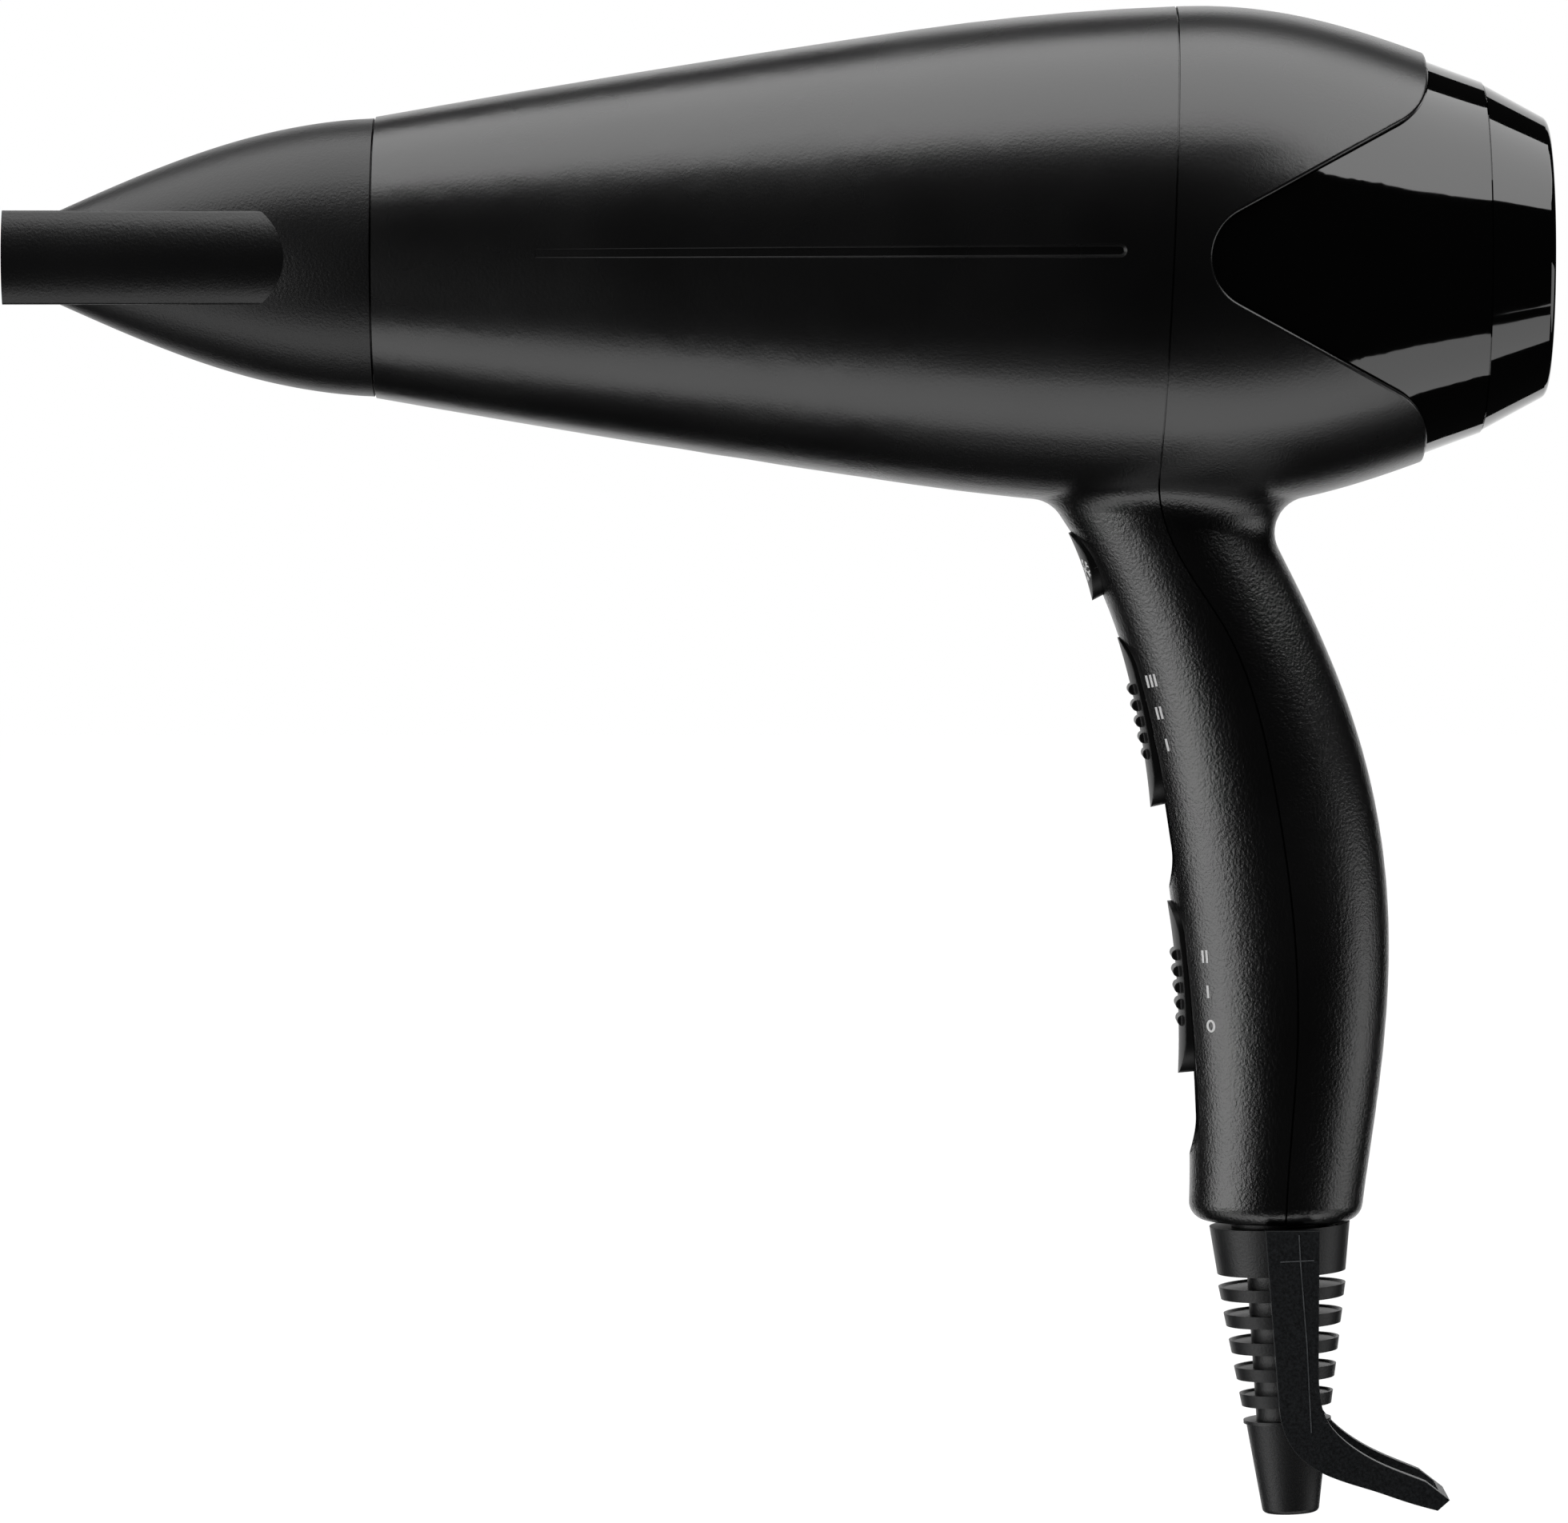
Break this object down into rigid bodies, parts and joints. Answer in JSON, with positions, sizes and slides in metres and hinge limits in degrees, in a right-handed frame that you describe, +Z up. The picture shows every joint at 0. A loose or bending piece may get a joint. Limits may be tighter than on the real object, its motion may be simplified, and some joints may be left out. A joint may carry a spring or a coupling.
{
  "type": "hair dryer",
  "caption": "Hand-held hair dryer: tapered barrel, turning concentrator nozzle, pull-off rear filter cap, sliding heat and speed switches, cool-shot button, cord boot and hanging loop.",
  "frame": {"origin": "centre of the grip, on the middle plane, about half way along the handle where the hand closes", "axes": "+X along the barrel from the nozzle towards the rear intake, +Y across the dryer, +Z up the handle to the barrel"},
  "size_m": [0.2777, 0.091, 0.2744],
  "materials": {
    "soft_touch_black": "soft-touch black paint with a fine grain",
    "gloss_black": "polished black moulding",
    "satin_black": "satin black moulding",
    "black_rubber": "matte flexible moulding",
    "inner_black": "plain heat-proof moulding",
    "mica": "pressed mica sheet",
    "switch_body": "plain moulded switch body",
    "board": "laminated circuit board",
    "coated_steel": "black heat-proof coating",
    "steel": "plain bright steel",
    "nichrome": "drawn heating wire",
    "bronze": "sintered bronze bush",
    "fuse_case": "drawn case"
  },
  "bodies": {
    "housing": {"front_housing": "soft_touch_black", "rear_housing": "soft_touch_black", "intake_shroud": "gloss_black", "outlet_grille": "coated_steel", "heat_liner": "mica", "upright_board": "mica", "level_board": "mica", "heater_winding": "nichrome", "thermostat": "steel", "thermal_fuse": "fuse_case", "fan_duct": "inner_black", "duct_screws": "steel", "motor_cushion": "black_rubber", "motor_can": "steel", "motor_end_bell": "inner_black", "shaft_bushes": "bronze", "rectifier_board": "board", "heat_switch": "switch_body", "speed_switch": "switch_body", "cool_switch": "switch_body", "cord_boot": "black_rubber", "hang_loop": "black_rubber", "cord_clamp": "inner_black", "clamp_screws": "steel"},
    "nozzle": {"concentrator_nozzle": "soft_touch_black"},
    "cap": {"filter_cap": "gloss_black", "filter_mesh": "steel"},
    "heat_slider": {"heat_knob": "satin_black", "heat_shutter": "inner_black"},
    "speed_slider": {"speed_knob": "satin_black", "speed_shutter": "inner_black"},
    "cool_shot": {"cool_button": "satin_black", "cool_plunger": "inner_black"},
    "rotor": {"motor_shaft": "steel", "impeller": "inner_black"}
  },
  "joints": [
    {"name": "nozzle_turn", "type": "hinge", "parent": "housing", "child": "nozzle", "pos_m": [-0.1635, 0, 0.113], "axis": [1, 0, 0], "continuous": true},
    {"name": "cap_pull", "type": "slide", "parent": "housing", "child": "cap", "axis": [1, 0, 0], "range_m": [0, 0.03]},
    {"name": "heat_slide", "type": "slide", "parent": "housing", "child": "heat_slider", "axis": [0.2173, 0, -0.9761], "range_m": [0, 0.012]},
    {"name": "speed_slide", "type": "slide", "parent": "housing", "child": "speed_slider", "axis": [0.0895, 0, -0.996], "range_m": [0, 0.012]},
    {"name": "cool_press", "type": "slide", "parent": "housing", "child": "cool_shot", "axis": [0.8856, 0, 0.4644], "range_m": [0, 0.0025], "stiffness_N_per_m": 400},
    {"name": "rotor_spin", "type": "hinge", "parent": "housing", "child": "rotor", "pos_m": [0, 0, 0.113], "axis": [1, 0, 0], "continuous": true}
  ]
}
